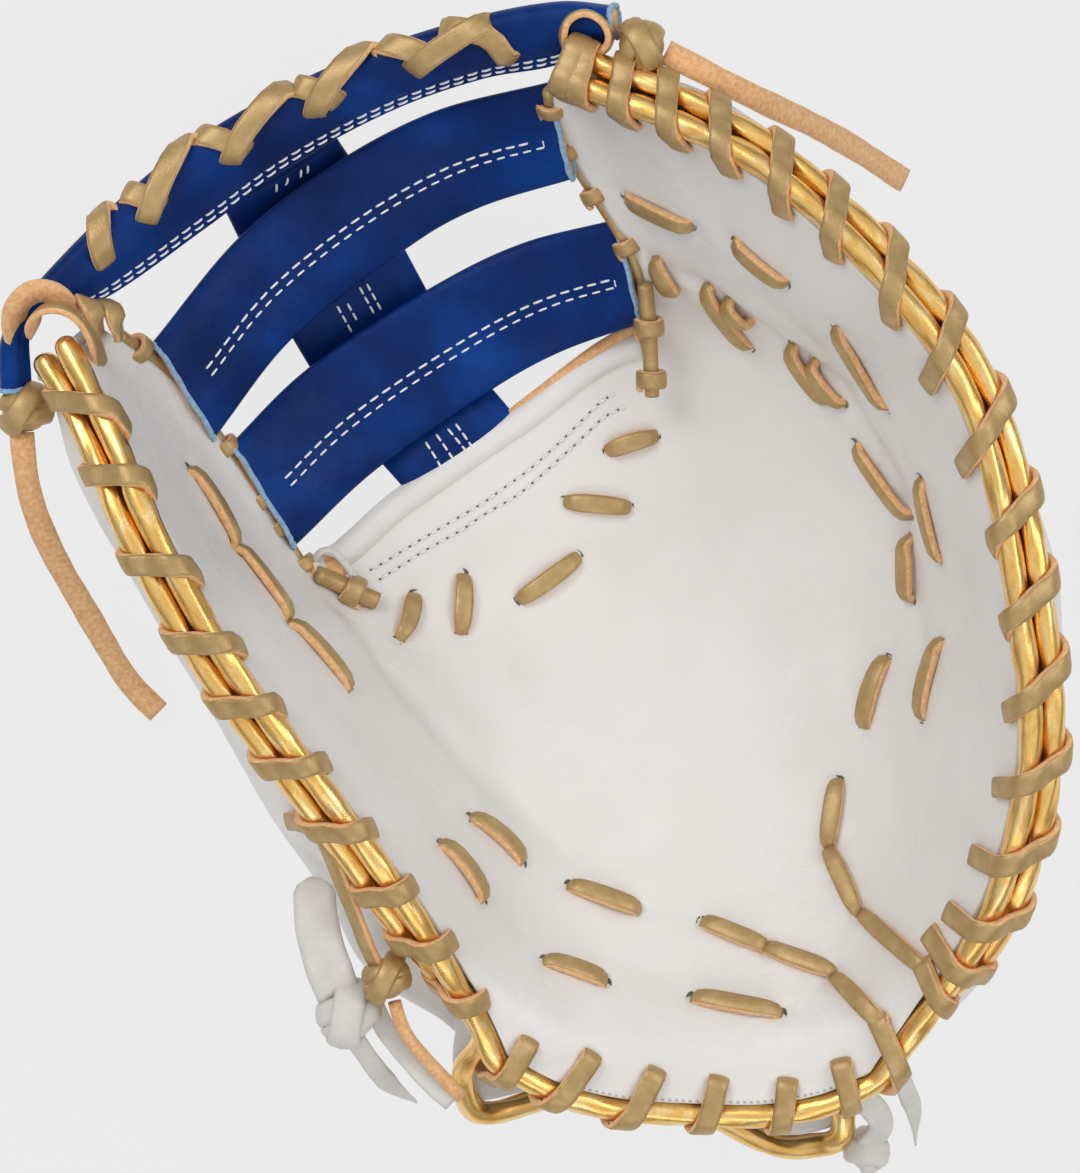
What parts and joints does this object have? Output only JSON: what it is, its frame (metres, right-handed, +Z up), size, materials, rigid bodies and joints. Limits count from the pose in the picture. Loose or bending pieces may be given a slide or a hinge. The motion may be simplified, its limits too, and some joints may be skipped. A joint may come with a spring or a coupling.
{
  "type": "first base mitt",
  "caption": "Open first base mitt lying pocket up: padded leather palm and back with laced rims, a laced web between thumb and fingers, and an open wrist.",
  "frame": {"origin": "on the surface that the mitt rests on, under the pocket, on the flat face of the back", "axes": "+Z up out of the pocket, +Y from the heel to the finger tip, +X from the thumb side to the finger side"},
  "size_m": [0.3112, 0.3493, 0.128],
  "materials": {
    "white_leather": "smooth, soft creases",
    "pile": "short grey pile",
    "gold_foil": "crinkled metallic foil",
    "tan_lace": "matte metallic grain, suede edges",
    "blue_leather": "smooth, slight sheen",
    "white_lace": "matte"
  },
  "bodies": {
    "root": {"palm_shell": "white_leather", "back_shell": "white_leather", "wrist_lining": "pile", "palm_binding": "gold_foil", "back_binding": "gold_foil", "rim_lace_thumb": "tan_lace", "rim_lace_heel": "tan_lace", "rim_lace_finger": "tan_lace", "web_thumb_lace": "tan_lace", "web_finger_lace": "tan_lace", "web_top_bar": "blue_leather", "web_upper_bar": "blue_leather", "web_lower_bar": "blue_leather", "web_post": "blue_leather", "web_top_lace": "tan_lace", "lip_strap": "tan_lace", "top_knot": "tan_lace", "top_tail": "tan_lace", "side_knot": "tan_lace", "side_tail": "tan_lace", "heel_knot": "tan_lace", "heel_tail": "tan_lace", "wrist_band": "white_lace", "wrist_knot": "white_lace", "wrist_tail": "white_lace", "wrist_end_knot": "white_lace", "wrist_end": "white_lace"}
  },
  "joints": []
}
